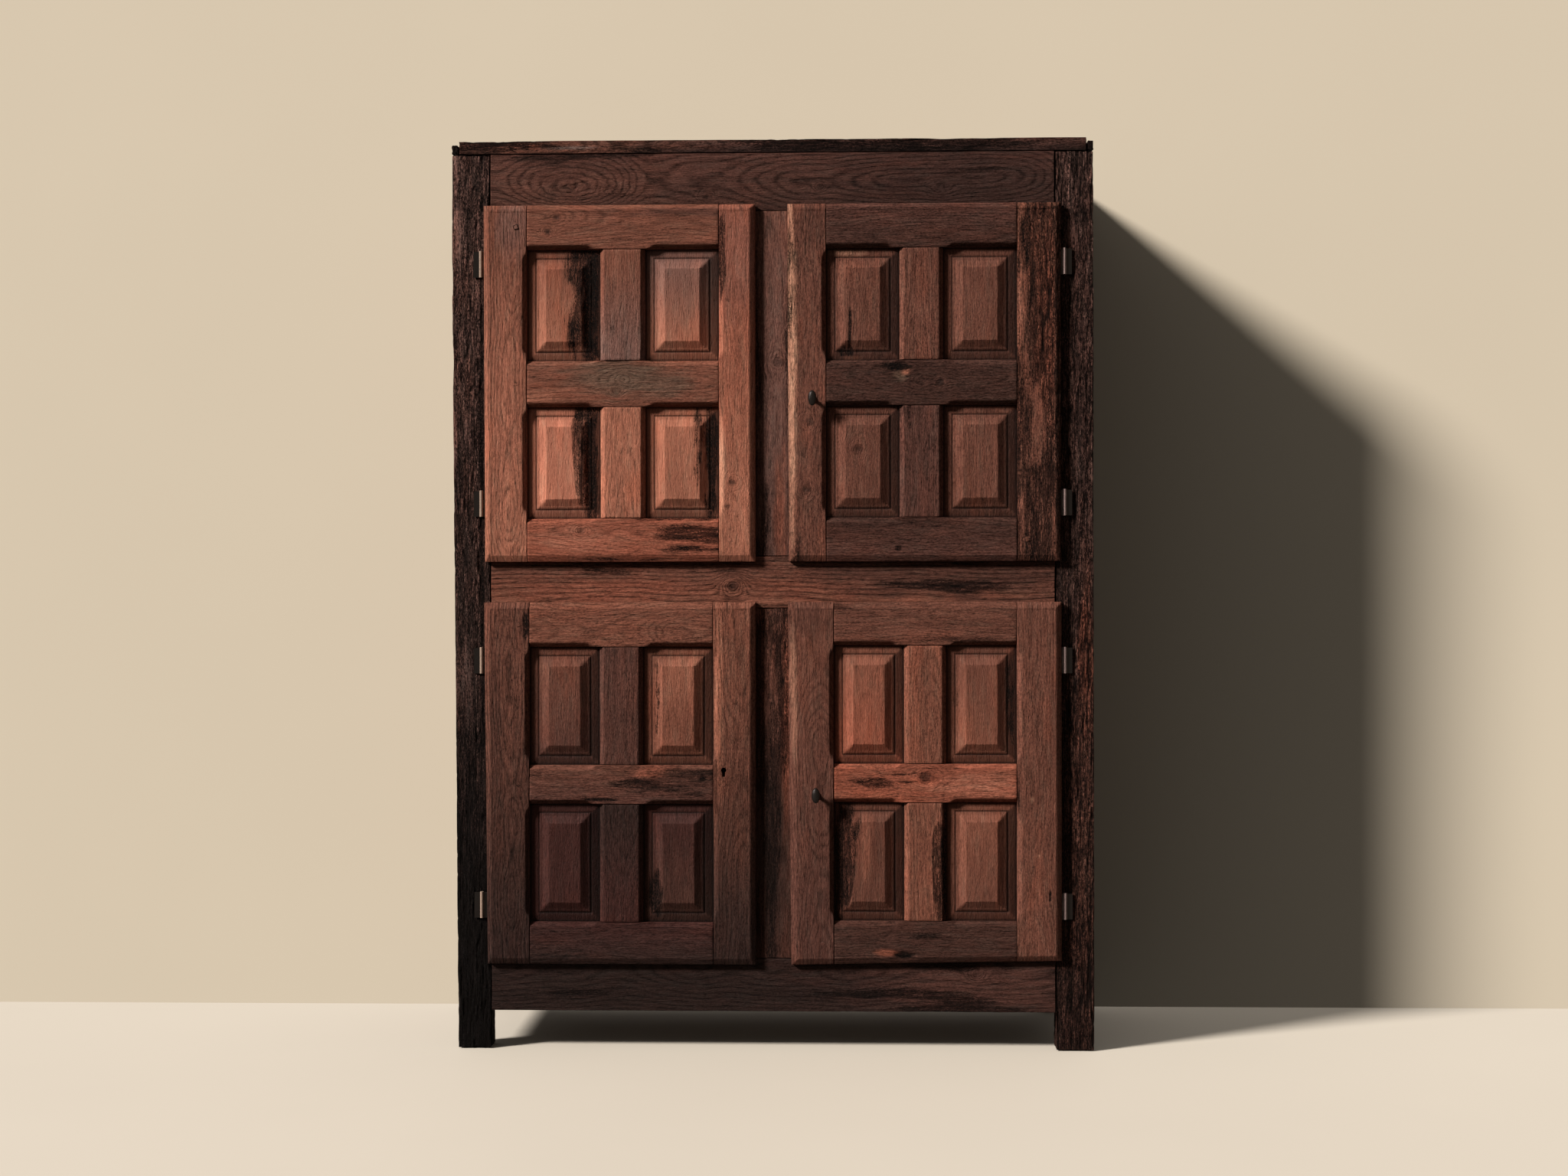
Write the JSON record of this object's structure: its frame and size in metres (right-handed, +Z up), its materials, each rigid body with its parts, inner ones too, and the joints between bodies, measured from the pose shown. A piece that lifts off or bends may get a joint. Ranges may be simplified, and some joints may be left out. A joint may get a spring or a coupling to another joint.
{
  "type": "trastero cabinet",
  "caption": "Tall two-tier cupboard of old joined timber, with hinged raised-panel doors above and below, plain post feet, and turn knobs that latch behind the centre stiles.",
  "frame": {"origin": "on the floor, at the middle of the whole cupboard's plan", "axes": "+Z up, +X to the right seen from the front, +Y from the doors to the back"},
  "size_m": [1.26, 0.5044, 1.785],
  "materials": {
    "post_wood": "nearly black, rough-hewn and deeply fissured, dry",
    "rail_wood": "dark brown, worn, open grain, dry",
    "top_wood": "weathered brown with raised grain",
    "inner_wood": "plain unpolished brown, dry",
    "upper_left_wood": "orange brown, rubbed, with charcoal patches",
    "upper_right_wood": "reddish brown, rubbed, with dark fissures",
    "lower_left_wood": "dull reddish brown, rubbed",
    "lower_right_wood": "dull reddish brown, rubbed, weathered black in places",
    "hinge_iron": "rusted",
    "knob_iron": "black, smooth from handling"
  },
  "bodies": {
    "case": {"front_post_left": "post_wood", "front_post_right": "post_wood", "rear_post_left": "post_wood", "rear_post_right": "post_wood", "top_rail": "rail_wood", "mid_rail": "rail_wood", "bottom_rail": "rail_wood", "centre_stiles": "rail_wood", "side_rails": "rail_wood", "side_panels": "rail_wood", "rear_rails": "inner_wood", "back_boards": "inner_wood", "top_boards": "top_wood", "top_end_caps": "top_wood", "floor_boards": "inner_wood", "middle_shelf": "inner_wood", "loose_shelves": "inner_wood", "shelf_cleats": "inner_wood", "hinge_frame_leaves": "hinge_iron", "hinge_pins": "hinge_iron"},
    "upper_left_door": {"upper_left_hinge_stile": "upper_left_wood", "upper_left_meeting_stile": "upper_left_wood", "upper_left_bottom_rail": "upper_left_wood", "upper_left_lock_rail": "upper_left_wood", "upper_left_top_rail": "upper_left_wood", "upper_left_muntins": "upper_left_wood", "upper_left_panels": "upper_left_wood", "upper_left_pegs": "upper_left_wood", "upper_left_hinge_leaves": "hinge_iron"},
    "upper_right_door": {"upper_right_hinge_stile": "upper_right_wood", "upper_right_meeting_stile": "upper_right_wood", "upper_right_bottom_rail": "upper_right_wood", "upper_right_lock_rail": "upper_right_wood", "upper_right_top_rail": "upper_right_wood", "upper_right_muntins": "upper_right_wood", "upper_right_panels": "upper_right_wood", "upper_right_pegs": "upper_right_wood", "upper_right_hinge_leaves": "hinge_iron"},
    "lower_left_door": {"lower_left_hinge_stile": "lower_left_wood", "lower_left_meeting_stile": "lower_left_wood", "lower_left_bottom_rail": "lower_left_wood", "lower_left_lock_rail": "lower_left_wood", "lower_left_top_rail": "lower_left_wood", "lower_left_muntins": "lower_left_wood", "lower_left_panels": "lower_left_wood", "lower_left_pegs": "lower_left_wood", "lower_left_hinge_leaves": "hinge_iron"},
    "lower_right_door": {"lower_right_hinge_stile": "lower_right_wood", "lower_right_meeting_stile": "lower_right_wood", "lower_right_bottom_rail": "lower_right_wood", "lower_right_lock_rail": "lower_right_wood", "lower_right_top_rail": "lower_right_wood", "lower_right_muntins": "lower_right_wood", "lower_right_panels": "lower_right_wood", "lower_right_pegs": "lower_right_wood", "lower_right_hinge_leaves": "hinge_iron"},
    "upper_latch": {"upper_turn_knob": "knob_iron", "upper_latch_tongue": "hinge_iron"},
    "lower_latch": {"lower_turn_knob": "knob_iron", "lower_latch_tongue": "hinge_iron"}
  },
  "joints": [
    {"name": "upper_left_door_hinge", "type": "hinge", "parent": "case", "child": "upper_left_door", "pos_m": [-0.571, -0.21135, 1.306], "axis": [0, 0, -1], "range_deg": [0, 110]},
    {"name": "upper_right_door_hinge", "type": "hinge", "parent": "case", "child": "upper_right_door", "pos_m": [0.571, -0.21135, 1.306], "axis": [0, 0, 1], "range_deg": [0, 110]},
    {"name": "lower_left_door_hinge", "type": "hinge", "parent": "case", "child": "lower_left_door", "pos_m": [-0.571, -0.21135, 0.523], "axis": [0, 0, -1], "range_deg": [0, 110]},
    {"name": "lower_right_door_hinge", "type": "hinge", "parent": "case", "child": "lower_right_door", "pos_m": [0.571, -0.21135, 0.523], "axis": [0, 0, 1], "range_deg": [0, 110]},
    {"name": "upper_knob_turn", "type": "hinge", "parent": "upper_right_door", "child": "upper_latch", "pos_m": [0.08, -0.226, 1.274], "axis": [0, 1, 0], "range_deg": [0, 90]},
    {"name": "lower_knob_turn", "type": "hinge", "parent": "lower_right_door", "child": "lower_latch", "pos_m": [0.086, -0.226, 0.502], "axis": [0, 1, 0], "range_deg": [0, 90]}
  ]
}
